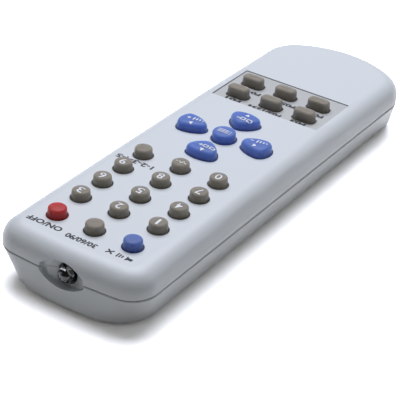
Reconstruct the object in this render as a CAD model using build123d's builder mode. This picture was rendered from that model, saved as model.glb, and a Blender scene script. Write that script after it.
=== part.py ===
from build123d import *
import math
import os

os.makedirs("parts", exist_ok=True)

# A hand held remote control lying on its back, infrared end toward +Y, power key toward +X.
# Millimetres, +Z up, resting surface at z = 0, the middle of the case at x = 0 and y = 0.

# Outside of the case, given by two plans: one at the parting and one at the floor
body_width = 51.2
body_length = 170.1
parting_front_radii = (204, 8.5)
front_corner_radius = 8.57
parting_tail_radii = (34.0,)
tail_corner_radius = 15.0
floor_side_inset = 3.65
floor_front_inset = 0.1
floor_tail_inset = 1.5
floor_front_radii = (70, 22)
floor_tail_radii = (35.0,)
corner_handover = 25
parting_height = 12.0
parting_arch = 0.25
parting_gap = 0.4
face_height = 19.6
lengthwise_arch = 0.6
band_bottom = 11.3
band_taper = 33.0
top_edge_radius = 6.1
bottom_edge_radius = 3.6

# Walls
side_wall = 1.8
floor_thickness = 1.6
ceiling_thickness = 2.2
ceiling_edge_radius = 4.2
floor_edge_radius = 2.0
lip_thickness = 0.6
lip_length = 1.5
lip_clearance = 0.25

# Keys: heights and travel
key_travel = 0.8
press_clearance = 0.1
flange_thickness = 0.6
flange_overlap = 0.65
pad_depth = 0.2
pad_inset = 0.7
core_inset = 0.6
shaped_key_clearance = 0.4
key_protrusion = 3.0
key_dome_reach = 9.0

# Round keys in three columns
column_pitch = 13.5
first_row_pitch = 13.05
row_pitch = 10.55
first_row_setback = 15.15
first_row_gap = 11.7
round_hole_radius = 3.3
round_key_clearance = 0.45
round_key_narrowing = 0.1
round_key_edge_radius = 0.7
round_key_dome = 0.2

# Direction keys around the menu key
nav_setback = 68.0
menu_hole_radius = 4.25
channel_tip = 10.0
channel_back = 13.1
channel_half_width = 2.9
volume_tip = 8.9
volume_back = 13.8
volume_half_width = 1.8
nav_back_bulge = 0.6
nav_side_bulge = 0.45
nav_rounding = 2.45
nav_hole_margin = 0.25
nav_edge_radius = 1.6
nav_lean = 4
nav_dome_radius = 45

# Oblong keys in the silver panel
panel_length = 39.6
panel_width = 22.6
panel_lead = 6.2
panel_recess_depth = 0.8
panel_thickness = 0.4
panel_clearance = 0.2
panel_corner_radius = 0.6
oblong_pitch_x = 12.5
oblong_pitch_y = 9.5
oblong_setback = 29.15
oblong_half_length = 4.25
oblong_half_width = 2.5
oblong_corner_radius = 2.15
oblong_edge_radius = 0.85
oblong_lean = 4
oblong_dome_radius = 45

# Keypad sheet and circuit board
board_thickness = 1.6
board_depth = 2.2
board_side_clearance = 3.3
board_front_setback = 11.05
board_tail_reach = 15.85
mat_thickness = 0.7
mat_side_inset = 1.0
mat_front_overhang = 1.2
mat_tail_inset = 4.5
mat_key_clearance = 0.35
rib_thickness = 0.9
rib_clearance = 0.85
post_radius = 2.0
post_offset = 4.3
front_post_setback = 16.95
rear_post_setback = 18.15
rear_rib_lead = 18.45

# Infrared window at the front end, depths measured from the front of the case
led_height = 11.1
led_radius = 2.5
led_length = 8.6
led_tip_depth = 0.15
led_hole_radius = 3.3
led_lead_inset = 2.95
led_lead_spacing = 2.54
scoop_half_width = 7.6
scoop_centre_height = 11.8
scoop_half_height = 4.2
scoop_end_half_height = 1.3
scoop_end_rounding = 1.1
scoop_floor_depth = 3.3
scoop_rim_depth = 1.75
scoop_steepness = 0.6
scoop_backing_depth = 5.45
scoop_backing_margin = 2.0
scoop_backing_cover = 1.2
scoop_parting_gap = 0.1

# Battery bay, two cells side by side
cell_radius = 5.25
cell_length = 44.5
cell_nub_radius = 1.9
cell_nub_length = 0.8
cell_spacing = 11.5
cell_lift = 0.3
bay_side_clearance = 1.2
bay_wall = 1.2
bay_screw_gap = 0.75
contact_thickness = 0.4
spring_space = 4.7
bay_clearance_above_cell = 0.35

# Sliding battery cover
cover_clearance = 0.3
cover_top_drop = 3.0
cover_travel = 8.0
tab_length = 6.0
tab_reach = 2.7
tab_thickness = 1.1
tab_setbacks = (6.0, 30.0)

# Screws
case_screw_setback = 20.65
case_boss_radius = 2.6
case_boss_meeting = 10.2
case_socket_radius = 3.6
case_seat_height = 4.0
case_shank_radius = 1.2
case_head_radius = 2.3
case_head_height = 1.8
board_shank_radius = 0.9
board_head_radius = 1.8
board_head_height = 1.2

# Derived places along the case
front_end = body_length / 2
tail_end = -body_length / 2
first_row_y = front_end - first_row_setback
nav_y = first_row_y - nav_setback
oblong_row_y = nav_y - oblong_setback
panel_y = oblong_row_y - panel_lead
board_front = front_end - board_front_setback
board_tail = panel_y - board_tail_reach
mat_front = board_front + mat_front_overhang
mat_tail = board_tail + mat_tail_inset
post_rows = (first_row_y - front_post_setback, nav_y - rear_post_setback)
cross_rib_rows = (first_row_y - first_row_gap / 2, nav_y + rear_rib_lead)
case_screw_y = nav_y - case_screw_setback
led_tip_y = front_end - led_tip_depth
led_lead_y = board_front - led_lead_inset
scoop_floor_y = front_end - scoop_floor_depth
scoop_rim_y = front_end - scoop_rim_depth
scoop_backing_y = front_end - scoop_backing_depth

# Derived places across the case
inner_half_width = body_width / 2 - side_wall
board_half_width = inner_half_width - board_side_clearance
mat_half_width = board_half_width - mat_side_inset
rib_inside = column_pitch + round_hole_radius + flange_overlap + rib_clearance
post_x = column_pitch + post_offset
bay_half_width = cell_spacing / 2 + cell_radius + bay_side_clearance
scoop_backing_half_width = scoop_half_width + scoop_backing_margin

# Derived heights
ceiling_height = face_height - ceiling_thickness
board_top = ceiling_height - board_depth
cover_top_height = parting_height - cover_top_drop
board_bottom = board_top - board_thickness
mat_top = board_top + mat_thickness
flange_bottom = ceiling_height - flange_thickness
pad_bottom = board_top + press_clearance + key_travel
bay_length = cell_length + spring_space + 2 * contact_thickness
bay_front_y = case_screw_y - case_socket_radius - bay_screw_gap - bay_wall
bay_tail_y = bay_front_y - bay_length
tab_rows = [bay_front_y - setback for setback in tab_setbacks]
cell_height = floor_thickness + cell_lift + cell_radius
bay_top = cell_height + cell_radius + bay_clearance_above_cell


def handover(end_radius, corner_radius):
    """Heading, in degrees, at which the arc across an end hands over to the corner arc"""
    return math.degrees(math.asin((body_width / 2 - corner_radius) / (end_radius - corner_radius)))


front_turns = (handover(parting_front_radii[0], front_corner_radius), corner_handover, 90)
tail_turns = (handover(parting_tail_radii[0], tail_corner_radius), 90)


def arch_drop(y):
    """How far the arched top lies below its middle at a given y"""
    return lengthwise_arch * (2 * y / body_length) ** 2


def face_at(y):
    """Height of the top face of the case at a given y"""
    return face_height - arch_drop(y)


def end_points(half, radii, turns, inset):
    """One end of a plan from its middle to its side, as a chain of arcs for x > 0

    The turns are the headings, in degrees, at which one arc hands over to the next. The last
    arc takes the radius that reaches the half width.
    """
    points = []
    x = 0.0
    drop = inset
    before = 0.0
    for index, turn in enumerate(turns):
        after = math.radians(turn)
        if index < len(radii):
            radius = radii[index] - inset
        else:
            radius = (half - inset - x) / (1 - math.sin(before))
        middle = (before + after) / 2
        points.append((
            x + radius * (math.sin(middle) - math.sin(before)),
            drop + radius * (math.cos(before) - math.cos(middle)),
        ))
        x += radius * (math.sin(after) - math.sin(before))
        drop += radius * (math.cos(before) - math.cos(after))
        points.append((x, drop))
        before = after
    return points


def outline_plan(half, front_y, front_radii, tail_y, tail_radii, inset):
    """Plan of the case with a crowned front end and a rounder tail end"""
    front = end_points(half, front_radii, front_turns, inset)
    tail = end_points(half, tail_radii, tail_turns, inset)

    def at_front(index, side):
        return (side * front[index][0], front_y - front[index][1])

    def at_tail(index, side):
        return (side * tail[index][0], tail_y + tail[index][1])

    with BuildSketch() as plan:
        with BuildLine():
            ThreePointArc(at_front(1, 1), (0, front_y - inset), at_front(1, -1))
            for k in range(1, len(front) - 1, 2):
                ThreePointArc(at_front(k, -1), at_front(k + 1, -1), at_front(k + 2, -1))
            Line(at_front(-1, -1), at_tail(-1, -1))
            for k in range(len(tail) - 1, 1, -2):
                ThreePointArc(at_tail(k, -1), at_tail(k - 1, -1), at_tail(k - 2, -1))
            ThreePointArc(at_tail(1, -1), (0, tail_y + inset), at_tail(1, 1))
            for k in range(1, len(tail) - 1, 2):
                ThreePointArc(at_tail(k, 1), at_tail(k + 1, 1), at_tail(k + 2, 1))
            Line(at_tail(-1, 1), at_front(-1, 1))
            for k in range(len(front) - 1, 1, -2):
                ThreePointArc(at_front(k, 1), at_front(k - 1, 1), at_front(k - 2, 1))
        make_face()
    return plan.sketch


def case_plan(inset):
    """Plan of the case at the parting, drawn inward by an inset"""
    return outline_plan(
        body_width / 2, front_end, parting_front_radii, tail_end, parting_tail_radii, inset,
    )


def floor_plan(inset):
    """Plan of the case at the floor, before its edge is rounded, drawn inward by an inset"""
    return outline_plan(
        body_width / 2 - floor_side_inset, front_end - floor_front_inset, floor_front_radii,
        tail_end + floor_tail_inset, floor_tail_radii, inset,
    )


def arched_side(bottom, top, arch_bottom, arch_top):
    """Side view of a slice of the case; each long edge drops by its arch toward the ends"""
    end = body_length / 2 + 2
    reach = (2 * end / body_length) ** 2
    low = bottom - arch_bottom * reach
    high = top - arch_top * reach
    with BuildSketch(Plane.YZ.offset(-body_width)) as side:
        with BuildLine():
            if arch_bottom:
                ThreePointArc((-end, low), (0, bottom), (end, low))
            else:
                Line((-end, low), (end, low))
            Line((end, low), (end, high))
            if arch_top:
                ThreePointArc((end, high), (0, top), (-end, high))
            else:
                Line((end, high), (-end, high))
            Line((-end, high), (-end, low))
        make_face()
    return side.sketch


def box_between(x0, x1, y0, y1, z0, z1, mode=Mode.ADD):
    """A block given by its limits on the three axes"""
    with Locations(((x0 + x1) / 2, (y0 + y1) / 2, (z0 + z1) / 2)):
        Box(abs(x1 - x0), abs(y1 - y0), abs(z1 - z0), mode=mode)


# Key positions, named from the user's end; the user looks toward +Y
round_keys = {
    "key_mute": (-first_row_pitch, first_row_y),
    "key_sleep": (0, first_row_y),
    "key_power": (first_row_pitch, first_row_y),
}
for row in range(4):
    row_y = first_row_y - first_row_gap - row * row_pitch
    for column in range(3):
        number = row * 3 + column + 1
        label = f"key_{number}"
        if row == 3:
            label = ("key_0", "key_dash", "key_input")[column]
        round_keys[label] = ((column - 1) * column_pitch, row_y)

oblong_keys = {}
for row in range(2):
    for column in range(3):
        label = f"key_function_{row * 3 + column + 1}"
        oblong_keys[label] = ((column - 1) * oblong_pitch_x, oblong_row_y - row * oblong_pitch_y)

nav_keys = {
    "key_channel_up": 90,
    "key_channel_down": -90,
    "key_volume_up": 0,
    "key_volume_down": 180,
}


def nav_outline(label, margin):
    """Rounded triangle with its tip toward the menu key and a bulging outer side"""
    angle = math.radians(nav_keys[label])
    tip, back, half = volume_tip, volume_back, volume_half_width
    if "channel" in label:
        tip, back, half = channel_tip, channel_back, channel_half_width

    def place(along, across):
        x = along * math.cos(angle) - across * math.sin(angle)
        y = along * math.sin(angle) + across * math.cos(angle)
        return (x, y + nav_y)

    def side_arc(side):
        along = (tip + back) / 2
        across = half / 2
        length = math.hypot(back - tip, half)
        bulge = nav_side_bulge / length
        return place(along - bulge * half, side * (across + bulge * (back - tip)))

    with BuildSketch() as outline:
        with BuildLine():
            ThreePointArc(place(tip, 0), side_arc(1), place(back, half))
            ThreePointArc(place(back, half), place(back + nav_back_bulge, 0), place(back, -half))
            ThreePointArc(place(back, -half), side_arc(-1), place(tip, 0))
        make_face()
        offset(amount=nav_rounding + margin, kind=Kind.ARC, mode=Mode.REPLACE)
    return outline.sketch


def oblong_outline(label, margin):
    """Rounded oblong of one function key"""
    with BuildSketch() as outline:
        with Locations(oblong_keys[label]):
            RectangleRounded(
                2 * (oblong_half_length + margin),
                2 * (oblong_half_width + margin),
                oblong_corner_radius + margin,
            )
    return outline.sketch


def key_openings(height, depth, extra):
    """Cuts the openings of all keys downward from a height, each wider by an extra margin"""
    with BuildSketch(Plane.XY.offset(height)) as openings:
        for x, y in round_keys.values():
            with Locations((x, y)):
                Circle(round_hole_radius + extra)
        with Locations((0, nav_y)):
            Circle(menu_hole_radius + extra)
        for label in nav_keys:
            add(nav_outline(label, nav_hole_margin + extra))
        for label in oblong_keys:
            add(oblong_outline(label, extra))
    extrude(openings.sketch, amount=-depth, mode=Mode.SUBTRACT)


def almond_prism(deep_y):
    """Almond shaped block from in front of the case back to a given y"""
    front = front_end + 4
    with BuildPart() as prism:
        with BuildSketch(Plane.XZ.offset(-front)):
            with BuildLine():
                left = -scoop_half_width
                right = scoop_half_width
                low_end = scoop_centre_height - scoop_end_half_height
                high_end = scoop_centre_height + scoop_end_half_height
                Line((left, low_end), (left, high_end))
                top_mid = (0, scoop_centre_height + scoop_half_height)
                ThreePointArc((left, high_end), top_mid, (right, high_end))
                Line((right, high_end), (right, low_end))
                low_mid = (0, scoop_centre_height - scoop_half_height)
                ThreePointArc((right, low_end), low_mid, (left, low_end))
            make_face()
            fillet(vertices(), radius=scoop_end_rounding)
        extrude(amount=front - deep_y)
    return prism.part


# Scoop in the front end, shared by both shells: a shallow funnel that runs on into the diode hole
with BuildPart() as ir_scoop:
    add(almond_prism(scoop_backing_y - 1))
    with BuildSketch(Plane.XY.offset(led_height)) as funnel:
        with BuildLine():
            hole_end = scoop_backing_y - 2
            funnel_top = scoop_rim_y + 0.5
            funnel_radius = led_hole_radius + (funnel_top - scoop_floor_y) / scoop_steepness
            Polyline(
                (0, hole_end), (led_hole_radius, hole_end), (led_hole_radius, scoop_floor_y),
                (funnel_radius, funnel_top), (0, funnel_top), close=True,
            )
        make_face()
    revolve(funnel.sketch, axis=Axis((0, 0, led_height), (0, 1, 0)), mode=Mode.INTERSECT)
    add(almond_prism(scoop_rim_y))


# Space inside the upper shell
with BuildPart() as upper_cavity:
    with BuildSketch(Plane.XY.offset(band_bottom - 3)):
        add(case_plan(side_wall))
    extrude(amount=ceiling_height - band_bottom + 3)
    fillet(upper_cavity.faces().sort_by(Axis.Z)[-1].edges(), radius=ceiling_edge_radius)
    box_between(
        -scoop_backing_half_width, scoop_backing_half_width,
        scoop_backing_y, body_length / 2, 0, ceiling_height + 1, mode=Mode.SUBTRACT,
    )

# Upper shell: soft edged cover with the key openings and the panel recess
with BuildPart() as top_cover:
    with BuildSketch(Plane.XY.offset(band_bottom)):
        add(case_plan(0))
    extrude(amount=face_height + 2 - band_bottom)
    side_view = arched_side(
        parting_height + parting_gap / 2, face_height, parting_arch, lengthwise_arch,
    )
    extrude(side_view, amount=2 * body_width, dir=(1, 0, 0), mode=Mode.INTERSECT)
    highest_rounding = face_at(front_end) - parting_height - parting_gap / 2 - 0.3
    fillet(
        top_cover.faces().sort_by(Axis.Z)[-1].edges(),
        radius=min(top_edge_radius, highest_rounding),
    )
    add(upper_cavity.part, mode=Mode.SUBTRACT)
    # Lip that reaches down inside the lower shell, left out behind the infrared window
    lip_outer = side_wall - lip_thickness
    with BuildSketch(Plane.XY.offset(parting_height - lip_length)):
        add(case_plan(lip_outer))
        add(case_plan(side_wall), mode=Mode.SUBTRACT)
        with Locations((0, front_end)):
            Rectangle(2 * scoop_backing_half_width, 20, mode=Mode.SUBTRACT)
    extrude(amount=lip_length + 1)
    add(ir_scoop.part, mode=Mode.SUBTRACT)
    # Ribs that press the keypad sheet onto the board
    for side in (-1, 1):
        box_between(
            side * rib_inside, side * (rib_inside + rib_thickness),
            mat_tail + 1, mat_front - 2, mat_top, ceiling_height + 0.5,
        )
    for y in cross_rib_rows:
        box_between(
            -rib_inside - 0.2, rib_inside + 0.2,
            y - rib_thickness / 2, y + rib_thickness / 2, mat_top, ceiling_height + 0.5,
        )
    # Posts for the board screws and the boss of the case screw
    for y in post_rows:
        for side in (-1, 1):
            with Locations((side * post_x, y, (board_top + ceiling_height + 0.5) / 2)):
                Cylinder(post_radius, ceiling_height + 0.5 - board_top)
    with Locations((0, case_screw_y, (case_boss_meeting + ceiling_height + 0.5) / 2)):
        Cylinder(case_boss_radius, ceiling_height + 0.5 - case_boss_meeting)
    # Locating tabs on the long sides
    for y in (board_front - 36.0, nav_y - 9.9):
        for side in (-1, 1):
            box_between(
                side * (inner_half_width - 2.2), side * (inner_half_width + 0.4),
                y - 3, y + 3, parting_height + 0.6, parting_height + 3.2,
            )
            box_between(
                side * (inner_half_width - 2.4), side * (inner_half_width - 1.4),
                y - 3, y + 3, parting_height - 3.0, parting_height + 2.5,
            )
    key_openings(face_height + 1, face_height + 1 - ceiling_height, 0)
    recess_floor = face_at(panel_y) - panel_recess_depth
    with BuildSketch(Plane.XY.offset(recess_floor)):
        with Locations((0, panel_y)):
            RectangleRounded(panel_length, panel_width, panel_corner_radius)
    extrude(amount=panel_recess_depth + 1, mode=Mode.SUBTRACT)
    post_bore_top = ceiling_height + 0.7
    boss_bore_top = ceiling_height - 0.8
    for y in post_rows:
        for side in (-1, 1):
            with Locations((side * post_x, y, (board_top + post_bore_top) / 2)):
                Cylinder(board_shank_radius + 0.1, post_bore_top - board_top, mode=Mode.SUBTRACT)
    with Locations((0, case_screw_y, (case_boss_meeting + boss_bore_top) / 2)):
        Cylinder(case_shank_radius + 0.1, boss_bore_top - case_boss_meeting, mode=Mode.SUBTRACT)

# Outside of the lower shell, with a narrow band that leans in toward the parting
with BuildPart() as lower_skin:
    with BuildSketch(Plane.XY.offset(band_bottom)):
        add(case_plan(0))
    with BuildSketch(Plane.XY):
        add(floor_plan(0))
    loft(ruled=True)
    fillet(lower_skin.faces().sort_by(Axis.Z)[0].edges(), radius=bottom_edge_radius)
    with BuildSketch(Plane.XY.offset(band_bottom)):
        add(case_plan(0))
    extrude(amount=parting_height - band_bottom, taper=band_taper)
    side_view = arched_side(-1, parting_height - parting_gap / 2, 0, parting_arch)
    extrude(side_view, amount=2 * body_width, dir=(1, 0, 0), mode=Mode.INTERSECT)

# Space inside the lower shell
with BuildPart() as lower_cavity:
    with BuildSketch(Plane.XY.offset(band_bottom)):
        add(case_plan(side_wall))
    with BuildSketch(Plane.XY):
        add(floor_plan(side_wall))
    loft(ruled=True)
    with Locations((0, 0, floor_thickness)):
        Box(
            2 * body_width, 2 * body_length, 2 * band_bottom,
            align=(Align.CENTER, Align.CENTER, Align.MIN), mode=Mode.INTERSECT,
        )
    fillet(lower_cavity.faces().sort_by(Axis.Z)[0].edges(), radius=floor_edge_radius)
    with BuildSketch(Plane.XY.offset(band_bottom)):
        add(case_plan(side_wall))
    extrude(amount=3)


def floor_patch(half_width, front_y, top_height):
    """Part of the lower shell wall under the battery bay and up the tail end"""
    with BuildPart() as patch:
        add(lower_skin.part)
        add(lower_cavity.part, mode=Mode.SUBTRACT)
        with Locations((0, front_y - body_length / 2, top_height / 2)):
            Box(2 * half_width, body_length, top_height, mode=Mode.INTERSECT)
    return patch.part


# Hollow of the lower shell, less the walls of the bay, the window backing and the screw boss
with BuildPart() as case_hollow:
    add(lower_cavity.part)
    box_between(
        -bay_half_width - bay_wall, bay_half_width + bay_wall,
        bay_tail_y - bay_wall, bay_front_y + bay_wall, 0, 20, mode=Mode.SUBTRACT,
    )
    box_between(
        -scoop_backing_half_width, scoop_backing_half_width,
        scoop_backing_y, body_length / 2, 0, 20, mode=Mode.SUBTRACT,
    )
    with Locations((0, case_screw_y, 0)):
        Cylinder(
            case_socket_radius, case_boss_meeting,
            align=(Align.CENTER, Align.CENTER, Align.MIN), mode=Mode.SUBTRACT,
        )

# Lower shell with the battery bay
with BuildPart() as bottom_case:
    add(lower_skin.part)
    add(case_hollow.part, mode=Mode.SUBTRACT)
    box_between(
        -bay_half_width - bay_wall, bay_half_width + bay_wall,
        bay_tail_y - bay_wall, bay_front_y + bay_wall, parting_height - 1.5, board_bottom,
    )
    # Rebate that takes the lip of the upper shell
    with BuildSketch(Plane.XY.offset(parting_height - lip_length - lip_clearance)):
        add(case_plan(lip_outer - lip_clearance))
        add(case_plan(side_wall + 0.5), mode=Mode.SUBTRACT)
        with Locations((0, front_end)):
            Rectangle(2 * (scoop_backing_half_width - lip_clearance), 20, mode=Mode.SUBTRACT)
    extrude(amount=lip_length + 2, mode=Mode.SUBTRACT)
    # Backing of the window, which closes the parting to a hair line inside the scoop
    backing_edge = scoop_backing_half_width - lip_clearance
    box_between(
        -backing_edge, backing_edge, scoop_backing_y, body_length / 2 - scoop_backing_cover,
        parting_height - 1.5, parting_height + parting_gap / 2 - parting_arch - scoop_parting_gap,
    )
    add(ir_scoop.part, mode=Mode.SUBTRACT)
    # Bay space, its opening and the contact slots in its roof
    box_between(
        -bay_half_width, bay_half_width, bay_tail_y, bay_front_y,
        floor_thickness - 0.1, bay_top, mode=Mode.SUBTRACT,
    )
    add(floor_patch(bay_half_width, bay_front_y, cover_top_height), mode=Mode.SUBTRACT)
    box_between(
        -bay_half_width, bay_half_width, bay_tail_y - bay_wall - 0.1, bay_front_y,
        floor_thickness - 0.1, floor_thickness + 0.3, mode=Mode.SUBTRACT,
    )
    for side in (-1, 1):
        x = side * cell_spacing / 2
        box_between(
            x - 1.3, x + 1.3, bay_front_y - contact_thickness - 0.3, bay_front_y,
            bay_top - 0.1, board_bottom + 0.1, mode=Mode.SUBTRACT,
        )
        # Windows for the tabs of the sliding cover
        for y in tab_rows:
            box_between(
                side * (bay_half_width - 0.2), side * (bay_half_width + bay_wall + 0.2),
                y + 0.4, y - tab_length - cover_travel - 0.4,
                floor_thickness, floor_thickness + cover_clearance + tab_thickness + 0.3,
                mode=Mode.SUBTRACT,
            )
    # Screw seat in the underside
    with Locations((0, case_screw_y, 0)):
        Cylinder(
            case_head_radius + 0.3, case_seat_height,
            align=(Align.CENTER, Align.CENTER, Align.MIN), mode=Mode.SUBTRACT,
        )
        Cylinder(
            case_shank_radius + 0.2, case_boss_meeting + 1,
            align=(Align.CENTER, Align.CENTER, Align.MIN), mode=Mode.SUBTRACT,
        )

# Battery cover that slides off over the tail end
with BuildPart() as battery_cover:
    add(floor_patch(
        bay_half_width - cover_clearance, bay_front_y - cover_clearance,
        cover_top_height - cover_clearance,
    ))
    edge = bay_half_width - cover_clearance
    tab_low = floor_thickness + cover_clearance
    for y in tab_rows:
        for side in (-1, 1):
            box_between(
                side * (edge - 1.0), side * edge, y, y - tab_length,
                floor_thickness - 0.2, tab_low + tab_thickness,
            )
            box_between(
                side * (edge - 0.5), side * (edge + tab_reach), y, y - tab_length,
                tab_low, tab_low + tab_thickness,
            )
    # Thumb grip: shallow grooves across the cover
    for step in range(4):
        y = bay_front_y - 6 - step * 2.2
        box_between(-7.0, 7.0, y - 0.5, y + 0.5, -0.5, 0.45, mode=Mode.SUBTRACT)

# Silver panel plate around the oblong keys
with BuildPart() as function_panel:
    with BuildSketch(Plane.XY.offset(recess_floor)):
        with Locations((0, panel_y)):
            RectangleRounded(
                panel_length - 2 * panel_clearance, panel_width - 2 * panel_clearance,
                panel_corner_radius - 0.2,
            )
        for label in oblong_keys:
            add(oblong_outline(label, 0), mode=Mode.SUBTRACT)
    extrude(amount=panel_thickness)

# Circuit board
with BuildPart() as circuit_board:
    with BuildSketch(Plane.XY.offset(board_bottom)):
        with Locations((0, (board_front + board_tail) / 2)):
            RectangleRounded(2 * board_half_width, board_front - board_tail, 2.0)
        for y in post_rows:
            for side in (-1, 1):
                with Locations((side * post_x, y)):
                    Circle(board_shank_radius + 0.3, mode=Mode.SUBTRACT)
        with Locations((0, case_screw_y)):
            Circle(case_boss_radius + 0.3, mode=Mode.SUBTRACT)
        with Locations((-led_lead_spacing / 2, led_lead_y), (led_lead_spacing / 2, led_lead_y)):
            Circle(0.5, mode=Mode.SUBTRACT)
    extrude(amount=board_thickness)

# Silicone keypad sheet
with BuildPart() as keypad_mat:
    with BuildSketch(Plane.XY.offset(board_top)):
        with Locations((0, (mat_front + mat_tail) / 2)):
            RectangleRounded(2 * mat_half_width, mat_front - mat_tail, 3.0)
        for y in post_rows:
            for side in (-1, 1):
                with Locations((side * post_x, y)):
                    Circle(post_radius + 0.3, mode=Mode.SUBTRACT)
        with Locations((0, case_screw_y)):
            Circle(case_boss_radius + 0.3, mode=Mode.SUBTRACT)
    extrude(amount=mat_thickness)
    key_openings(mat_top + 0.1, mat_thickness + 0.2, mat_key_clearance - core_inset)


def round_key(label, x, y, hole_radius):
    """Silicone key: contact pad, core, flange under the case wall, and a nearly straight cap"""
    stem = hole_radius - round_key_clearance
    core = hole_radius - core_inset
    cap = stem - round_key_narrowing
    face = face_at(y)
    top = face + key_protrusion
    edge = round_key_edge_radius
    dome_rise = round_key_dome
    with BuildPart() as key:
        with BuildSketch(Plane((x, y, 0), x_dir=(1, 0, 0), z_dir=(0, -1, 0))):
            with BuildLine():
                shoulder = (cap, top - dome_rise - edge)
                rim = (cap - edge, top - dome_rise)
                bend = (cap - 0.293 * edge, top - dome_rise - 0.293 * edge)
                Polyline(
                    (0, pad_bottom),
                    (core - pad_inset, pad_bottom),
                    (core - pad_inset, pad_bottom + pad_depth),
                    (core, pad_bottom + pad_depth),
                    (core, flange_bottom),
                    (hole_radius + flange_overlap, flange_bottom),
                    (hole_radius + flange_overlap, ceiling_height),
                    (stem, ceiling_height),
                    (stem, face + 0.05),
                    shoulder,
                )
                ThreePointArc(shoulder, bend, rim)
                dome = (rim[0] ** 2 + dome_rise**2) / (2 * dome_rise)
                halfway = (rim[0] / 2, top - dome + math.sqrt(dome**2 - rim[0] ** 2 / 4))
                ThreePointArc(rim, halfway, (0, top))
                Line((0, top), (0, pad_bottom))
            make_face()
        revolve(axis=Axis((x, y, 0), (0, 0, 1)))
    key.part.label = label
    export_step(key.part, f"parts/{label}.step")
    return key


def shaped_key(label, outline, hole_margin, y, lean, edge, dome_centre, dome_radius):
    """Key of any plan: flange under the case wall, stem in its opening, soft top"""
    face = face_at(y)
    top = face + key_protrusion
    with BuildPart() as key:
        # Contact pad, core and flange
        layers = (
            (hole_margin - core_inset - pad_inset, pad_bottom, pad_bottom + pad_depth),
            (hole_margin - core_inset, pad_bottom + pad_depth, flange_bottom),
            (hole_margin + flange_overlap, flange_bottom, ceiling_height),
            (hole_margin - shaped_key_clearance, ceiling_height, face + 0.05),
        )
        for margin, low, high in layers:
            with BuildSketch(Plane.XY.offset(low)):
                add(outline(label, margin))
            extrude(amount=high - low)
        with BuildSketch(Plane.XY.offset(face)):
            add(outline(label, hole_margin - shaped_key_clearance))
        extrude(amount=key_protrusion + 1, taper=lean)
        # The top is cut to a shallow dome
        with BuildSketch(Plane((dome_centre[0], dome_centre[1], 0), x_dir=(1, 0, 0), z_dir=(0, -1, 0))):
            with BuildLine():
                reach = key_dome_reach
                middle = (reach / 2, top - dome_radius + math.sqrt(dome_radius**2 - reach**2 / 4))
                low = (reach, top - dome_radius + math.sqrt(dome_radius**2 - reach**2))
                ThreePointArc((0, top), middle, low)
                Polyline(low, (reach, top + 4), (0, top + 4), (0, top))
            make_face()
        revolve(axis=Axis((dome_centre[0], dome_centre[1], 0), (0, 0, 1)), mode=Mode.SUBTRACT)
        fillet(key.faces().sort_by(Axis.Z)[-1].edges(), radius=edge)
    key.part.label = label
    export_step(key.part, f"parts/{label}.step")
    return key


for label, (x, y) in round_keys.items():
    round_key(label, x, y, round_hole_radius)
round_key("key_menu", 0, nav_y, menu_hole_radius)

for label, angle in nav_keys.items():
    middle = (channel_tip + channel_back) / 2 + 0.8
    if "volume" in label:
        middle = (volume_tip + volume_back) / 2 + 0.8
    centre = (
        middle * math.cos(math.radians(angle)),
        middle * math.sin(math.radians(angle)) + nav_y,
    )
    shaped_key(
        label, nav_outline, nav_hole_margin, centre[1], nav_lean, nav_edge_radius,
        centre, nav_dome_radius,
    )

for label, (x, y) in oblong_keys.items():
    shaped_key(
        label, oblong_outline, 0, y, oblong_lean, oblong_edge_radius, (x, y), oblong_dome_radius,
    )

# Infrared diode: clear dome, round body and a wider foot
with BuildPart() as infrared_led:
    led_back = led_tip_y - led_length
    with BuildSketch(Plane.XY.offset(led_height)):
        with BuildLine():
            Line((0, led_back), (led_radius + 0.4, led_back))
            Line((led_radius + 0.4, led_back), (led_radius + 0.4, led_back + 1.0))
            Line((led_radius + 0.4, led_back + 1.0), (led_radius, led_back + 1.0))
            Line((led_radius, led_back + 1.0), (led_radius, led_tip_y - led_radius))
            along = led_radius * math.sin(math.radians(45))
            ThreePointArc(
                (led_radius, led_tip_y - led_radius),
                (along, led_tip_y - led_radius + along),
                (0, led_tip_y),
            )
            Line((0, led_tip_y), (0, led_back))
        make_face()
    revolve(axis=Axis((0, 0, led_height), (0, 1, 0)))

# Two legs of the diode, bent up into the board
with BuildPart() as led_leads:
    for side in (-1, 1):
        x = side * led_lead_spacing / 2
        near = led_lead_y - 0.25
        box_between(x - 0.25, x + 0.25, near, led_back, led_height - 0.25, led_height + 0.25)
        box_between(x - 0.25, x + 0.25, near, near + 0.5, led_height - 0.25, board_top - 0.1)

# Control chip with gull wing legs, hanging under the board
with BuildPart() as control_chip:
    chip_y = board_front - 36.0
    box_between(-6.4, 6.4, chip_y - 3.75, chip_y + 3.75, board_bottom - 2.3, board_bottom - 0.15)
    for index in range(10):
        x = (index - 4.5) * 1.27
        for side in (-1, 1):
            near = chip_y + side * 3.7
            far = chip_y + side * 5.0
            box_between(x - 0.2, x + 0.2, near, far, board_bottom - 1.3, board_bottom - 1.05)
            box_between(x - 0.2, x + 0.2, far - 0.25 * side, far, board_bottom - 1.3, board_bottom)

# Ceramic resonator with two legs
with BuildPart() as ceramic_resonator:
    resonator_y = board_front - 48.0
    with Locations((-11.0, resonator_y, board_bottom - 0.4 - 3.0)):
        Box(7.4, 3.2, 6.0)
    fillet(ceramic_resonator.edges().filter_by(Axis.Y), radius=1.0)
    for step in (-2.5, 2.5):
        x = -11.0 + step
        box_between(
            x - 0.25, x + 0.25, resonator_y - 0.25, resonator_y + 0.25,
            board_bottom - 1.5, board_bottom,
        )

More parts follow.
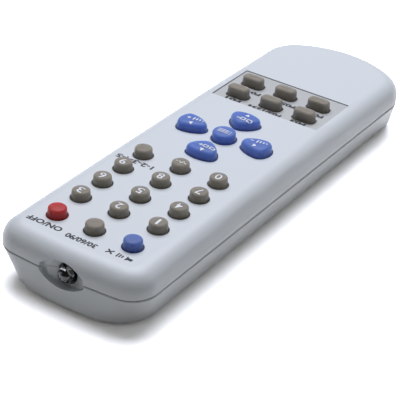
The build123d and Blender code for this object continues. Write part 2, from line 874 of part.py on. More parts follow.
# Reservoir capacitor lying along the board
with BuildPart() as reservoir_capacitor:
    can_y = board_front - 52.0
    with Locations(Location((12.0, can_y, board_bottom - 0.3 - 2.5), (90, 0, 0))):
        Cylinder(2.5, 11.0)
    fillet(reservoir_capacitor.edges().filter_by(GeomType.CIRCLE), radius=0.4)
    for step in (-1.0, 1.0):
        x = 12.0 + step
        leg_z = board_bottom - 2.8
        box_between(x - 0.25, x + 0.25, can_y + 5.0, can_y + 7.4, leg_z - 0.25, leg_z + 0.25)
        box_between(x - 0.25, x + 0.25, can_y + 6.9, can_y + 7.4, leg_z - 0.25, board_bottom)

# Driver transistor, flat on one side
with BuildPart() as driver_transistor:
    transistor_y = board_front - 12.0
    with BuildSketch(Plane.XY.offset(board_bottom - 5.6)):
        with Locations((9.0, transistor_y)):
            Circle(2.3)
        with Locations((9.0, transistor_y - 2.9)):
            Rectangle(6.0, 3.0, mode=Mode.SUBTRACT)
    extrude(amount=4.6)
    for step in (-1.27, 0, 1.27):
        x = 9.0 + step
        box_between(
            x - 0.2, x + 0.2, transistor_y - 0.2, transistor_y + 0.2,
            board_bottom - 1.2, board_bottom,
        )

# Chip resistors in one group
with BuildPart() as chip_resistors:
    for x, setback in ((-6.0, 14.0), (3.0, 21.0), (-12.0, 28.0)):
        y = board_front - setback
        box_between(x - 1.0, x + 1.0, y - 0.625, y + 0.625, board_bottom - 0.55, board_bottom)


def contact_spring(x, base_y, toward):
    """Conical spring of a battery contact, standing on its plate"""
    wire = 0.3
    length = spring_space - 2 * wire - 0.35
    start = base_y + toward * (wire - 0.05)
    axis = Plane((x, start, cell_height), x_dir=(1, 0, 0), z_dir=(0, toward, 0))
    path = Helix(
        pitch=length / 3.5, height=length, radius=3.8,
        cone_angle=-math.degrees(math.atan(1.1 / length)), mode=Mode.PRIVATE,
    )
    path = axis.location * path
    with BuildSketch(Plane(path @ 0, z_dir=path % 0)) as section:
        Circle(wire)
    return sweep(section.sketch, path=path, is_frenet=True, mode=Mode.PRIVATE)


plate_low = cell_height - 4.0
plate_high = cell_height + 4.4

# Positive contact plate at the front of the left cell
with BuildPart() as contact_positive:
    x = -cell_spacing / 2
    y1 = bay_front_y
    y0 = bay_front_y - contact_thickness
    box_between(x - 4.0, x + 4.0, y0, y1, plate_low, plate_high)
    box_between(x - 1.0, x + 1.0, y0, y1, plate_high - 0.1, board_bottom)

# Negative contact plate with its spring at the front of the right cell
with BuildPart() as contact_negative:
    x = cell_spacing / 2
    box_between(x - 4.6, x + 4.6, y0, y1, cell_height - 4.6, plate_high)
    box_between(x - 1.0, x + 1.0, y0, y1, plate_high - 0.1, board_bottom)
    add(contact_spring(x, y0, -1))

# Bridge contact at the tail, spring for the left cell and plate for the right cell
with BuildPart() as contact_bridge:
    y2 = bay_tail_y
    y3 = bay_tail_y + contact_thickness
    box_between(-cell_spacing / 2 - 4.6, cell_spacing / 2 + 4.6, y2, y3, cell_height - 4.6, plate_high)
    add(contact_spring(-cell_spacing / 2, y3, 1))


def cell(label, x, nub_y, toward):
    """Dry cell with its nub at nub_y, the can running away from it"""
    body_y = nub_y - toward * cell_nub_length
    far_y = nub_y - toward * cell_length
    with BuildPart() as dry_cell:
        with BuildSketch(Plane.XY.offset(cell_height)):
            with BuildLine():
                Polyline(
                    (x, nub_y), (x + cell_nub_radius, nub_y), (x + cell_nub_radius, body_y),
                    (x + cell_radius, body_y), (x + cell_radius, far_y), (x, far_y), close=True,
                )
            make_face()
        revolve(axis=Axis((x, 0, cell_height), (0, 1, 0)))
        rims = dry_cell.edges().filter_by(GeomType.CIRCLE)
        rims = rims.filter_by(lambda e: abs(e.radius - cell_radius) < 0.01)
        fillet(rims, radius=0.4)
    dry_cell.part.label = label
    export_step(dry_cell.part, f"parts/{label}.step")


cell("battery_left", -cell_spacing / 2, bay_front_y - contact_thickness, 1)
cell("battery_right", cell_spacing / 2, bay_tail_y + contact_thickness, -1)


def cross_recess(x, y, z, size, depth):
    """Crosshead recess cut upward into a screw head"""
    box_between(x - size, x + size, y - 0.3, y + 0.3, z - 0.1, z + depth, mode=Mode.SUBTRACT)
    box_between(x - 0.3, x + 0.3, y - size, y + size, z - 0.1, z + depth, mode=Mode.SUBTRACT)


# Case screw
with BuildPart() as case_screw:
    head_low = case_seat_height - case_head_height
    with Locations((0, case_screw_y, head_low)):
        Cylinder(case_head_radius, case_head_height, align=(Align.CENTER, Align.CENTER, Align.MIN))
    fillet(case_screw.faces().sort_by(Axis.Z)[0].edges(), radius=0.6)
    with Locations((0, case_screw_y, case_seat_height)):
        Cylinder(case_shank_radius, 11.0, align=(Align.CENTER, Align.CENTER, Align.MIN))
    cross_recess(0, case_screw_y, head_low, 1.3, 0.9)

# Board screws in one group
with BuildPart() as board_screws:
    head_low = board_bottom - board_head_height
    for y in post_rows:
        for side in (-1, 1):
            x = side * post_x
            with Locations((x, y, head_low)):
                Cylinder(
                    board_head_radius, board_head_height,
                    align=(Align.CENTER, Align.CENTER, Align.MIN),
                )
            with Locations((x, y, board_bottom)):
                Cylinder(board_shank_radius, 4.2, align=(Align.CENTER, Align.CENTER, Align.MIN))
            cross_recess(x, y, head_low, 1.0, 0.7)

pieces = {
    "top_cover": top_cover,
    "bottom_case": bottom_case,
    "battery_cover": battery_cover,
    "function_panel": function_panel,
    "circuit_board": circuit_board,
    "keypad_mat": keypad_mat,
    "infrared_led": infrared_led,
    "led_leads": led_leads,
    "control_chip": control_chip,
    "ceramic_resonator": ceramic_resonator,
    "reservoir_capacitor": reservoir_capacitor,
    "driver_transistor": driver_transistor,
    "chip_resistors": chip_resistors,
    "contact_positive": contact_positive,
    "contact_negative": contact_negative,
    "contact_bridge": contact_bridge,
    "case_screw": case_screw,
    "board_screws": board_screws,
}
for label, piece in pieces.items():
    piece.part.label = label
    export_step(piece.part, f"parts/{label}.step")
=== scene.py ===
# %% [markdown]
# # A television remote control
#
# This notebook dresses a packed CAD model of a hand held remote control. The CAD model has every
# solid piece at its real size: two case halves, rubber keys, a silver panel, an infrared diode
# and the works inside. The cells below give each piece its real finish, add the thin prints on
# the keys and the case, and set the remote on a white table under soft light.

import math

import bpy
from mathutils import Matrix, Vector


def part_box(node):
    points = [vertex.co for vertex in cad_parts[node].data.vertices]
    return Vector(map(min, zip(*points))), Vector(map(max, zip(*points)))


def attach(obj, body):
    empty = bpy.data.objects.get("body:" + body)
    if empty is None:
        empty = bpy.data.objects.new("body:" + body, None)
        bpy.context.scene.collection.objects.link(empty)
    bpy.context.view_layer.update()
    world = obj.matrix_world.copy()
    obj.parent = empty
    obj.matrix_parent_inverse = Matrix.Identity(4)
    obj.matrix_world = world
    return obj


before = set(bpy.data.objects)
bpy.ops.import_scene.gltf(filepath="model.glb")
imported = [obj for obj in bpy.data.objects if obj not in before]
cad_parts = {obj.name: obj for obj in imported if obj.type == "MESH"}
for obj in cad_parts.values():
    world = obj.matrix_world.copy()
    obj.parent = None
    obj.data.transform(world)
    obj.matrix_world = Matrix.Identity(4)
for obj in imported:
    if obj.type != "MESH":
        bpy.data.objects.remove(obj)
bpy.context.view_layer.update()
print("pieces from the CAD model:", len(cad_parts))

# %% [markdown]
# ## Small helpers for materials
#
# Colours are picked from real plastics as sRGB hex values, the way a paint chart gives them.
# Blender calculates with linear light, so one function converts them. A second one adds a
# shader node with its settings and its links, which keeps each material short. The other two
# make a material and give it to pieces of the CAD model. Blender's unit is the metre, so a size
# in millimetres is written times MM.

# %% Colour and node helpers
MM = 0.001


def linear(hex_colour):
    """Linear RGBA of an sRGB hex colour such as #c03030"""
    channels = []
    for start in (1, 3, 5):
        value = int(hex_colour[start:start + 2], 16) / 255
        # the sRGB curve is straight for the darkest tones and a power curve above them
        if value <= 0.04045:
            channels.append(value / 12.92)
        else:
            channels.append(((value + 0.055) / 1.055) ** 2.4)
    return (*channels, 1.0)


def add_node(tree, kind, settings=None, links=None):
    """Adds a shader node: settings go to its sockets or properties, links to its sockets"""
    node = tree.nodes.new(kind)
    for name, value in (settings or {}).items():
        if name in node.inputs:
            node.inputs[name].default_value = value
        else:
            setattr(node, name, value)
    for name, socket in (links or {}).items():
        tree.links.new(socket, node.inputs[name])
    return node


def new_material(name, settings):
    """A material whose Principled shader has the given settings"""
    material = bpy.data.materials.new(name)
    material.use_nodes = True
    shader = material.node_tree.nodes["Principled BSDF"]
    for socket, value in settings.items():
        shader.inputs[socket].default_value = value
    return material


def dress(material, *names):
    """Gives CAD nodes one material in place of the packed one"""
    for name in names:
        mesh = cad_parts[name].data
        mesh.materials.clear()
        mesh.materials.append(material)


print("mid grey in linear light:", round(linear("#808080")[0], 3))

# %% [markdown]
# ## The case: white ABS
#
# The shells are injection moulded ABS in a cool white. The steel mould was spark eroded, which
# leaves a very fine satin grain on the plastic: it softens reflections without looking rough.
# Real grain is about 0.05 mm, too fine to show here, so it is drawn at 0.4 mm and very shallow.
# The grain could be a picture laid over the case, but a noise pattern that reads Object
# coordinates needs no picture, has no seams and keeps its size in millimetres on every shell.

# %% White ABS
grain_size = 0.4 * MM
grain_depth = 0.02 * MM

case_abs = new_material(
    "white_abs_satin",
    {"Base Color": linear("#d9dee2"), "Roughness": 0.42, "IOR": 1.53},
)
tree = case_abs.node_tree
coordinates = add_node(tree, "ShaderNodeTexCoord")
grain = add_node(
    tree, "ShaderNodeTexNoise", {"Scale": 1 / grain_size, "Detail": 1.0},
    {"Vector": coordinates.outputs["Object"]},
)
grain_bump = add_node(
    tree, "ShaderNodeBump", {"Strength": 0.05, "Distance": grain_depth},
    {"Height": grain.outputs["Fac"]},
)
tree.links.new(grain_bump.outputs["Normal"], tree.nodes["Principled BSDF"].inputs["Normal"])
dress(case_abs, "top_cover", "bottom_case", "battery_cover")
print("case material:", case_abs.name)

# %% [markdown]
# ## The keys: silicone rubber
#
# Keys of this kind are moulded from pigmented silicone. It is matt and a little waxy: light
# sinks in and comes out again some millimetres away, so that the sides of a key stay bright.
# A plain rough surface would be simpler, but its sides turn dark, as on hard plastic. So the
# keys use the subsurface part of the Principled shader. Most keys are warm grey, the power key
# is red, the direction keys are a full blue and the mute key is a greyer one.

# %% Silicone keys
light_depth = 8.0 * MM


def silicone(name, hex_colour, sheen=0.08):
    """Pigmented silicone with a faint bloom of the given strength on its surface"""
    return new_material(
        name,
        {
            "Base Color": linear(hex_colour), "Roughness": 0.48, "IOR": 1.41,
            "Subsurface Weight": 1.0, "Subsurface Radius": (0.8, 0.9, 1.2),
            "Subsurface Scale": light_depth, "Sheen Weight": sheen, "Sheen Roughness": 0.5,
        },
    )


silicone_grey = silicone("silicone_warm_grey", "#898171")
silicone_red = silicone("silicone_red", "#b42d29", 0.02)
silicone_blue = silicone("silicone_blue", "#5976bf", 0.15)
silicone_slate_blue = silicone("silicone_slate_blue", "#576eaa")
direction_keys = [
    "key_menu", "key_channel_up", "key_channel_down", "key_volume_up", "key_volume_down",
]
grey_keys = [
    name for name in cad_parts
    if name.startswith("key_") and name not in direction_keys + ["key_power", "key_mute"]
]
dress(silicone_grey, *grey_keys)
dress(silicone_red, "key_power")
dress(silicone_slate_blue, "key_mute")
dress(silicone_blue, *direction_keys)
print("grey keys:", len(grey_keys), "blue keys:", len(direction_keys) + 1)

# %% [markdown]
# ## The panel: satin silver plate
#
# The plate around the oblong keys is a thin sheet with a satin silver lacquer. Such a lacquer
# is fine flakes of metal in a pale binder, so its metallic value lies between plastic and bare
# metal. A medium roughness spreads the reflections, as the flakes do. A fully metallic plate
# would mirror its surroundings and change its grey with each view, which the real one doesn't.

# %% Silver panel
silver_plate = new_material(
    "satin_silver_plate",
    {"Base Color": linear("#c2c4c4"), "Metallic": 0.35, "Roughness": 0.45},
)
dress(silver_plate, "function_panel")

# %% [markdown]
# ## The diode: smoked epoxy
#
# The diode is cast in lightly smoked epoxy with an IOR near 1.54. The tint keeps daylight off
# the chip, so the dome looks nearly black. Through it one sees a little of the silvered lead
# frame: a small cup that holds the chip, and the two posts that carry it. A dark opaque dome
# would hide them, so the epoxy transmits light and the lead frame is modelled further down.

# %% Smoked epoxy and tinned wire
smoked_epoxy = new_material(
    "smoked_epoxy",
    {
        "Base Color": linear("#a4a6a8"), "Roughness": 0.06, "IOR": 1.54,
        "Transmission Weight": 1.0,
    },
)
tinned_wire = new_material(
    "tinned_wire", {"Base Color": linear("#c4c4c2"), "Metallic": 1.0, "Roughness": 0.3},
)
dress(smoked_epoxy, "infrared_led")
dress(tinned_wire, "led_leads")

led_low, led_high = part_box("infrared_led")
led_height = (led_low[2] + led_high[2]) / 2
led_tip = led_high[1]
print("diode axis height in mm:", round(led_height / MM, 2), "tip y:", round(led_tip / MM, 2))

# %% [markdown]
# ## The works inside: board and parts
#
# The board and its parts are seen only when the shells come apart. They still get the finish of
# the real ones: a glossy green solder resist on the board, matt black moulded epoxy for the chip
# and the other small parts, a shiny ochre dip on the resonator, and a smooth dark blue sleeve on
# the capacitor. The sheet under the keys is the same grey silicone as most keys. One colour and
# one roughness tell these materials apart, so none of them needs a pattern.

# %% Board and parts
board_green = new_material(
    "solder_resist_green", {"Base Color": linear("#2c5c3a"), "Roughness": 0.35},
)
moulded_black = new_material(
    "moulded_epoxy_black", {"Base Color": linear("#1c1c1e"), "Roughness": 0.6},
)
dipped_ochre = new_material(
    "dipped_coating_ochre", {"Base Color": linear("#c98a2e"), "Roughness": 0.35},
)
sleeve_blue = new_material(
    "shrink_sleeve_dark_blue", {"Base Color": linear("#1e2a55"), "Roughness": 0.3},
)
dress(silicone_grey, "keypad_mat")
dress(board_green, "circuit_board")
dress(moulded_black, "control_chip", "driver_transistor", "chip_resistors")
dress(dipped_ochre, "ceramic_resonator")
dress(sleeve_blue, "reservoir_capacitor")
print("materials so far:", len(bpy.data.materials))

# %% [markdown]
# ## The works inside: cells, contacts and screws
#
# With the battery cover off one sees two dry cells and their contacts. The contacts are nickel
# plated spring steel, which gives warm and fairly sharp reflections. The cells have a printed
# foil jacket, a grey between paint and metal. The screws are zinc plated: cooler and duller.
# A metal shows itself by what it reflects, so a colour, the metallic value and a roughness are
# enough, and a pattern would hardly be seen.

# %% Cells, contacts and screws
nickel_plate = new_material(
    "nickel_plate", {"Base Color": linear("#bdb9ae"), "Metallic": 1.0, "Roughness": 0.28},
)
cell_jacket = new_material(
    "printed_cell_jacket",
    {"Base Color": linear("#4a4e55"), "Metallic": 0.4, "Roughness": 0.32},
)
zinc_plate = new_material(
    "zinc_plate", {"Base Color": linear("#aeb0b2"), "Metallic": 1.0, "Roughness": 0.35},
)
dress(nickel_plate, "contact_positive", "contact_negative", "contact_bridge")
dress(cell_jacket, "battery_left", "battery_right")
dress(zinc_plate, "case_screw", "board_screws")
print("materials so far:", len(bpy.data.materials))

# %% [markdown]
# ## Finishing a new piece
#
# Blender's operators act on all that is selected, so everything is deselected before a shape is
# made. When a shape is done, its place, turn and size go into its mesh. They could stay with the
# object, but the pieces of the CAD model all sit at the origin, and a new piece that does so too
# can be moved with them. It then gets its name and material, and it rides on the body that
# carries it on the real remote.

# %% Helpers for new pieces


def deselect_all():
    """Nothing selected, object mode"""
    if bpy.context.object and bpy.context.object.mode != "OBJECT":
        bpy.ops.object.mode_set(mode="OBJECT")
    bpy.ops.object.select_all(action="DESELECT")


def settle(piece, name, material, body):
    """Applies place, turn and size to the mesh, names the piece and lets it ride on a body"""
    deselect_all()
    piece.select_set(True)
    bpy.context.view_layer.objects.active = piece
    bpy.ops.object.transform_apply(location=True, rotation=True, scale=True)
    piece.name = name
    piece.data.name = name
    piece.data.materials.clear()
    piece.data.materials.append(material)
    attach(piece, body)


def join(pieces):
    """Joins several meshes into the first"""
    deselect_all()
    for piece in pieces:
        piece.select_set(True)
    bpy.context.view_layer.objects.active = pieces[0]
    if len(pieces) > 1:
        bpy.ops.object.join()
    return pieces[0]


# %% [markdown]
# ## The cup in the diode
#
# Under the dome sits a stamped lead frame. Its cup is a short cone that flares toward the tip.
# The mouth is the face that looks up the cone's own axis: an inset leaves the rim, and an
# extrude that goes back and narrows makes the hollow for the chip. The cup could also be spun
# from a profile, but a cone and two steps in edit mode give the same shape sooner.

# %% Cup
cup_behind_tip = 4.1 * MM
cup_depth = 0.9 * MM
cup_back_radius = 0.45 * MM
cup_mouth_radius = 0.9 * MM
rim_width = 0.12 * MM
hollow_depth = 0.5 * MM
hollow_taper = 0.6

cup_y = led_tip - cup_behind_tip
deselect_all()
bpy.ops.mesh.primitive_cone_add(
    vertices=24, radius1=cup_back_radius, radius2=cup_mouth_radius, depth=cup_depth,
    location=(0, cup_y, led_height), rotation=(math.radians(-90), 0, 0),
)
cup = bpy.context.object
bpy.ops.object.mode_set(mode="EDIT")
bpy.ops.mesh.select_mode(type="FACE")
bpy.ops.mesh.select_all(action="DESELECT")
bpy.ops.object.mode_set(mode="OBJECT")
for face in cup.data.polygons:
    face.select = face.normal.z > 0.9
bpy.ops.object.mode_set(mode="EDIT")
bpy.ops.mesh.inset(thickness=rim_width)
bpy.ops.mesh.extrude_region_move(TRANSFORM_OT_translate={"value": (0, -hollow_depth, 0)})
bpy.ops.transform.resize(value=(hollow_taper, hollow_taper, hollow_taper))
bpy.ops.object.mode_set(mode="OBJECT")
print("cup faces:", len(cup.data.polygons))

# %% [markdown]
# ## The posts in the diode
#
# Two flat posts run back from the cup: a broad one behind it, and a narrow one beside that for
# the bond wire. A cube stretched to the real size is enough for a flat post. The cup and the
# posts are stamped from one strip, so they are joined into one piece.

# %% Posts
post_thickness = 0.4 * MM
post_foot_gap = 0.3 * MM
post_length = cup_y - led_low[1] - post_foot_gap
broad_post = (-0.35 * MM, 0.9 * MM)
narrow_post = (0.85 * MM, 0.5 * MM)

lead_frame_parts = [cup]
for offset, width in (broad_post, narrow_post):
    deselect_all()
    bpy.ops.mesh.primitive_cube_add(
        size=1, location=(offset, led_low[1] + post_length / 2, led_height),
        scale=(width, post_length, post_thickness),
    )
    lead_frame_parts.append(bpy.context.object)
lead_frame = join(lead_frame_parts)
settle(lead_frame, "diode_lead_frame", tinned_wire, "case")
print("lead frame faces:", len(lead_frame.data.polygons))

# %% [markdown]
# ## Prints: the inks
#
# The marks on the case and the keys are pad printed: a soft stamp lays ink that is only
# hundredths of a millimetre thick on the curved surface. The ink dries a little duller than the
# plastic around it. A print could be a picture in the material of the key, but a thin mesh keeps
# its edges sharp from near by. The dark ink is a very dark grey, because pure black looks like a
# hole in a render. The prints here are plain ones: digits, signs, arrows and simple symbols.

# %% Inks
ink_white = new_material("pad_ink_white", {"Base Color": linear("#eceff2"), "Roughness": 0.55})
ink_dark = new_material("pad_ink_dark", {"Base Color": linear("#26292f"), "Roughness": 0.55})
ink_lift = 0.03 * MM
print("inks:", ink_white.name, ink_dark.name, "lift in mm:", round(ink_lift / MM, 3))

# %% [markdown]
# ## Prints: letters
#
# Letters could be drawn stroke by stroke, but Blender has a typeface of its own. So they start as
# text, which becomes a mesh and is then stretched to fill a box of the size that the print has
# on the remote. Places and sizes of prints are in millimetres.

# %% Letters


def words(text, x, y, width, height, bold):
    """Text that fills a box around x, y; bold thickens its strokes, as a share of the type size"""
    deselect_all()
    bpy.ops.object.text_add(location=(0, 0, 0))
    letters = bpy.context.object
    letters.data.body = text
    letters.data.resolution_u = 4
    letters.data.offset = bold
    bpy.ops.object.convert(target="MESH")
    letters = bpy.context.object
    corners = [vertex.co for vertex in letters.data.vertices]
    low = [min(corner[axis] for corner in corners) for axis in (0, 1)]
    high = [max(corner[axis] for corner in corners) for axis in (0, 1)]
    stretch = (width * MM / (high[0] - low[0]), height * MM / (high[1] - low[1]))
    letters.scale = (*stretch, 1)
    letters.location = (
        x * MM - stretch[0] * (low[0] + high[0]) / 2,
        y * MM - stretch[1] * (low[1] + high[1]) / 2,
        0,
    )
    return letters


print("made the helper words:", words.__doc__)

# %% [markdown]
# ## Prints: strokes, arrows and outlines
#
# The other marks are made of two flat shapes: a straight stroke, which is a stretched plane, and
# an arrow, which is a circle of three corners. Four strokes make an outline. Both shapes start
# as primitives, because a size and a turn are all that such a mark needs.

# %% Strokes, arrows and outlines


def bar(x, y, width, height, turn=0):
    """A straight stroke"""
    deselect_all()
    bpy.ops.mesh.primitive_plane_add(size=1, location=(x * MM, y * MM, 0))
    stroke = bpy.context.object
    stroke.scale = (width * MM, height * MM, 1)
    stroke.rotation_euler = (0, 0, math.radians(turn))
    return stroke


def arrow(x, y, base, height, turn=0):
    """A filled triangle that points to +Y before it is turned"""
    deselect_all()
    bpy.ops.mesh.primitive_circle_add(
        vertices=3, radius=1, fill_type="NGON", location=(x * MM, y * MM, 0),
    )
    triangle = bpy.context.object
    # with a radius of 1 the triangle is sqrt(3) wide and 1.5 high
    triangle.scale = (base * MM / math.sqrt(3), height * MM / 1.5, 1)
    triangle.rotation_euler = (0, 0, math.radians(turn))
    return triangle


def outline(x, y, width, height, stroke):
    """The outline of a rectangle, as four strokes"""
    return [
        bar(x, y + (height - stroke) / 2, width, stroke),
        bar(x, y - (height - stroke) / 2, width, stroke),
        bar(x - (width - stroke) / 2, y, stroke, height),
        bar(x + (width - stroke) / 2, y, stroke, height),
    ]


print("made the helpers:", bar.__name__, arrow.__name__, outline.__name__)

# %% [markdown]
# ## Prints: from a flat mark to a curved one
#
# A mark is made flat, cut into small faces and held over the remote. Then it is projected
# straight down onto the piece that carries it, and stops a hair above the surface. The small
# faces let it follow the curve. The nearest point of the surface could be the target too, but
# then marks near an edge would be squeezed, while a straight drop keeps their shape, as a stamp
# does. A point that meets nothing stays up, and a warning tells so.

# %% Projection
stamp_height = 40 * MM
missed_height = 30 * MM


def print_on(name, marks, carrier, body, ink):
    """Projects flat marks down onto a CAD node and leaves them as one thin print"""
    mark = join(marks)
    bpy.ops.object.transform_apply(location=True, rotation=True, scale=True)
    bpy.ops.object.mode_set(mode="EDIT")
    bpy.ops.mesh.select_all(action="SELECT")
    bpy.ops.mesh.quads_convert_to_tris()
    bpy.ops.mesh.subdivide(number_cuts=2)
    bpy.ops.object.mode_set(mode="OBJECT")
    mark.location = (0, 0, stamp_height)
    bpy.ops.object.transform_apply(location=True, rotation=True, scale=True)
    wrap = mark.modifiers.new("wrap", "SHRINKWRAP")
    wrap.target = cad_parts[carrier]
    wrap.wrap_method = "PROJECT"
    wrap.use_project_z = True
    wrap.use_negative_direction = True
    wrap.use_positive_direction = False
    wrap.offset = ink_lift
    bpy.ops.object.modifier_apply(modifier="wrap")
    highest = max(vertex.co.z for vertex in mark.data.vertices)
    if highest > missed_height:
        print("warning:", name, "reaches past the edge of", carrier)
    settle(mark, name, ink, body)


print("the marks start at", round(stamp_height / MM), "mm, over the top of the remote")

# %% [markdown]
# ## Prints on the number keys
#
# Each number key has its digit a little off its middle, where the photographed one has it. A
# loop prints all ten, because they differ only in their figure, and the 1 in its width. The key
# for two digit channels has a dash, a slash and two more dashes.

# %% Digits and dashes
digit_width = 1.95
slim_digit_width = 0.75
digit_height = 2.7
digit_shift = (-0.3, 0.6)
digit_bold = 0.005
dash_places = (-1.7, 0.1, 1.2)
dash_length = 0.75
dash_stroke = 0.3
slash_place = -0.8
slash_length = 1.8
slash_stroke = 0.28
slash_turn = -25
dash_line_shift = 0.4


def key_centre(node):
    """Middle of a key in millimetres"""
    low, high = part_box(node)
    return (low[0] + high[0]) / 2 / MM, (low[1] + high[1]) / 2 / MM


for digit in range(10):
    x, y = key_centre(f"key_{digit}")
    width = slim_digit_width if digit == 1 else digit_width
    figure = words(
        str(digit), x + digit_shift[0], y + digit_shift[1], width, digit_height, digit_bold,
    )
    print_on(
        f"print_{digit}", [figure],
        f"key_{digit}", f"number_{digit}_button", ink_white,
    )

x, y = key_centre("key_dash")
line_y = y + dash_line_shift
dashes = [bar(x + dash_x, line_y, dash_length, dash_stroke) for dash_x in dash_places]
slash = bar(x + slash_place, line_y, slash_stroke, slash_length, slash_turn)
print_on("print_dash", dashes + [slash], "key_dash", "dash_button", ink_white)
print("printed number keys: 10 digits and", len(dashes), "dashes with a slash")

# %% [markdown]
# ## Prints on the direction keys: the symbols
#
# Each direction key carries an arrow and a plus or minus sign. Beside the sign the channel keys
# have two small screens, and the volume keys four bars that grow. The middle key has a list.
# Each symbol is a function that adds up strokes, so that it can be used on more than one key.

# %% Symbols


def sign(x, y, plus):
    """A plus or a minus sign"""
    length, stroke = 1.2, 0.35
    strokes = [bar(x, y, length, stroke)]
    if plus:
        strokes.append(bar(x, y, stroke, length))
    return strokes


def two_screens(x, y):
    """Two small screen outlines side by side"""
    half_pitch = 1.15
    width, height, stroke = 1.8, 1.5, 0.32
    screens = []
    for centre in (x - half_pitch, x + half_pitch):
        screens += outline(centre, y, width, height, stroke)
    return screens


def growing_bars(x, y):
    """Four bars that grow to the right from one base line"""
    first_x, base_y = x - 1.5, y - 0.8
    shortest, growth, stroke = 0.6, 0.35, 0.45
    bars = []
    for step in range(4):
        height = shortest + growth * step
        bars.append(bar(first_x + step, base_y + height / 2, stroke, height))
    return bars


def list_lines(x, y):
    """Three lines of a list, each with a dot before it"""
    dot_x, line_x = x - 2.3, x + 0.2
    pitch, dot_length, line_length, stroke = 0.75, 0.4, 3.8, 0.3
    lines = []
    for row in (-1, 0, 1):
        lines.append(bar(dot_x, y + row * pitch, dot_length, stroke))
        lines.append(bar(line_x, y + row * pitch, line_length, stroke))
    return lines


symbols = (sign, two_screens, growing_bars, list_lines)
print("made the helpers:", [symbol.__name__ for symbol in symbols])

# %% [markdown]
# ## Prints on the direction keys: their places
#
# The arrow of each key points away from the middle key. The arrow, the sign and the symbol were
# each set where the photographed key has its print. A mark of the four outer keys could be
# centred on its key, but the real prints lie off centre, so their places are written out.

# %% Arrows, signs and symbols on the keys
menu_x, menu_y = key_centre("key_menu")
direction_marks = {
    "channel_up": (
        [arrow(-0.9, 16.3, 1.6, 1.3)] + sign(0.9, 14.1, True) + two_screens(-2.0, 14.0)
    ),
    "channel_down": (
        [arrow(-0.6, -11.1, 1.6, 1.4, 180)] + sign(1.3, -8.6, False) + two_screens(-1.5, -8.7)
    ),
    "volume_up": (
        [arrow(11.0, 4.2, 1.6, 1.2, -90)] + sign(13.2, 1.8, True) + growing_bars(10.0, 1.5)
    ),
    "volume_down": (
        [arrow(-12.0, 3.9, 1.6, 1.2, 90)] + sign(-9.9, 1.5, False) + growing_bars(-13.2, 1.2)
    ),
    "menu": list_lines(menu_x, menu_y + 0.3),
}
for key, marks in direction_marks.items():
    print_on(f"print_{key}", marks, f"key_{key}", f"{key}_button", ink_white)
print("printed direction keys:", len(direction_marks))

# %% [markdown]
# ## Prints on the case
#
# Dark marks beside the keys tell what each one does: on and off, minutes before it turns off, a
# loudspeaker with a cross for no sound, and the numbers of the inputs. Words are made as text,
# and the loudspeaker is added up from strokes, because a typeface may lack such a sign.

# %% Dark marks beside the keys
label_height = 2.2
label_bold = 0.035


def crossed_speaker(x, y):
    """A loudspeaker, three growing sound waves and a cross, from x to the right"""
    horn_x, first_wave_x, cross_x = x + 1.0, x + 2.7, x + 6.9
    wave_pitch, wave_stroke = 0.8, 0.45
    cross_length, cross_stroke = 2.7, 0.5
    marks = [bar(x, y, 1.0, 1.1), arrow(horn_x, y, 2.1, 1.7, 90)]
    for step, wave_height in enumerate((1.2, 1.6, 2.0)):
        marks.append(bar(first_wave_x + wave_pitch * step, y, wave_stroke, wave_height))
    for cross_turn in (40, -40):
        marks.append(bar(cross_x, y, cross_length, cross_stroke, cross_turn))
    return marks


case_marks = {
    "print_on_off": [words("ON/OFF", 13.2, 75.5, 12.0, label_height, label_bold)],
    "print_minutes": [words("30/60/90", -0.1, 76.3, 10.4, label_height, label_bold)],
    "print_struck_speaker": crossed_speaker(-16.4, 75.7),
    "print_inputs": [words("1-2-3-4-5", 13.25, 31.4, 13.2, label_height, label_bold)],
}
for name, marks in case_marks.items():
    print_on(name, marks, "top_cover", "case", ink_dark)
print("marks on the case:", len(case_marks))

# %% [markdown]
# ## Prints on the panel
#
# Each oblong key has a short code beside it, toward the infrared end. The codes stand in two
# rows. They could be six separate prints, but one table and one loop are easier to change: each
# code has its text, its x and its width, and its row gives the y and the height.

# %% Codes on the panel
front_row = (-23.6, 1.7)
back_row = (-32.0, 1.9)
code_bold = 0.05
panel_codes = {
    "print_code_1": ("F01", 12.3, 5.8, front_row),
    "print_code_2": ("F02/1234", 0.3, 12.4, front_row),
    "print_code_3": ("F03", -12.25, 5.6, front_row),
    "print_code_4": ("F04", 9.6, 5.4, back_row),
    "print_code_5": ("F05", -3.8, 5.4, back_row),
    "print_code_6": ("F06", -14.2, 5.4, back_row),
}
for name, (text, x, width, (y, height)) in panel_codes.items():
    print_on(
        name, [words(text, x, y, width, height, code_bold)],
        "function_panel", "case", ink_dark,
    )
print("codes on the panel:", len(panel_codes))

# %% [markdown]
# ## The table
#
# The remote lies on a plain white table. The table looks white to the camera without extra
# lamps: the light path node gives camera, glossy and transmission rays a brighter table than
# the one that lights the remote from below, and the soft contact shadow stays. More light would
# whiten the table as well, but it would bleach the case and wash the shadow out.

# %% White table
table_side = 6
lit_tone = (0.5, 0.49, 0.46, 1)
seen_tone = (2.3, 2.3, 2.3, 1)

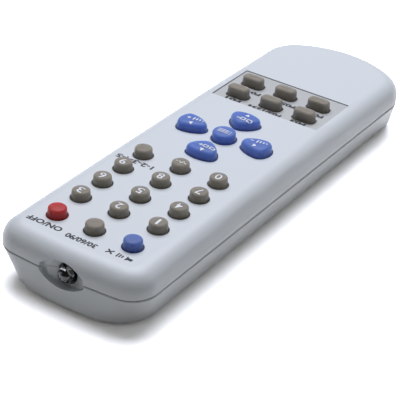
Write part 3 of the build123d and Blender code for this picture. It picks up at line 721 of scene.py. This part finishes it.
deselect_all()
bpy.ops.mesh.primitive_plane_add(size=table_side, location=(0, 0, 0))
table = bpy.context.object
table.name = "table"
table_white = new_material("white_table", {})
tree = table_white.node_tree
rays = add_node(tree, "ShaderNodeLightPath")
seen = rays.outputs["Is Camera Ray"]
for ray in ("Is Glossy Ray", "Is Transmission Ray"):
    either = add_node(tree, "ShaderNodeMath", {"operation": "MAXIMUM"})
    tree.links.new(seen, either.inputs[0])
    tree.links.new(rays.outputs[ray], either.inputs[1])
    seen = either.outputs[0]
tone = add_node(
    tree, "ShaderNodeMixRGB", {"Color1": lit_tone, "Color2": seen_tone}, {"Fac": seen},
)
white = add_node(tree, "ShaderNodeBsdfDiffuse", None, {"Color": tone.outputs["Color"]})
tree.links.new(white.outputs["BSDF"], tree.nodes["Material Output"].inputs["Surface"])
table.data.materials.append(table_white)
print("table size in m:", tuple(round(side, 1) for side in table.dimensions[:2]))

# %% [markdown]
# ## Light
#
# One large soft box hangs over the remote, a little behind it and toward the power key, so the
# contact shadow falls toward the viewer. Some small lamps could give as much light, but each
# would draw its own hard shadow. A pale surround fills the rest. Together they are set so that a
# colour renders about as it is written.

# %% Soft box and surround
soft_box_place = Vector((0.14, -0.22, 0.72))
soft_box_target = Vector((0, 0, 0))

deselect_all()
bpy.ops.object.light_add(type="AREA")
soft_box = bpy.context.object
soft_box.name = "soft_box"
soft_box.data.shape = "SQUARE"
soft_box.data.size = 0.65
soft_box.data.color = (0.893, 0.915, 1.0)
soft_box.data.energy = 6.6
soft_box.location = soft_box_place
beam = soft_box_target - soft_box_place
soft_box.rotation_euler = beam.to_track_quat("-Z", "Y").to_euler()

world = bpy.data.worlds.new("surround")
bpy.context.scene.world = world
world.use_nodes = True
surround = world.node_tree.nodes["Background"]
surround.inputs["Color"].default_value = (1, 0.98, 0.94, 1)
surround.inputs["Strength"].default_value = 0.135
print("soft box watts:", soft_box.data.energy, "distance in m:", round(beam.length, 2))

# %% [markdown]
# ## Camera
#
# The camera stands over the infrared end and looks down at about 30 degrees. Its place and turn
# were worked out from the key rows and the case outline, so it is set as three directions: its
# right, its down and its forward. A camera that tracks an object would be simpler, but it could
# not keep the small roll of the real one. The lens is long, which keeps the far end nearly as
# large as the near one.

# %% Camera
right = Vector((-0.837837, -0.541033, 0.072885))
down = Vector((-0.333435, 0.401439, -0.853034))
forward = Vector((0.432261, -0.739006, -0.516740))
place = Vector((-202.70, 359.82, 244.85)) * MM
turn = Matrix((right, -down, -forward)).transposed().to_4x4()

camera_data = bpy.data.cameras.new("camera")
camera_data.lens = 135
camera_data.sensor_width = 36
camera = bpy.data.objects.new("camera", camera_data)
bpy.context.scene.collection.objects.link(camera)
camera.matrix_world = Matrix.Translation(place) @ turn
bpy.context.scene.camera = camera
bpy.context.scene.view_settings.view_transform = "Standard"
print("camera distance in m:", round(place.length, 3))

# %% [markdown]
# ## Finish
#
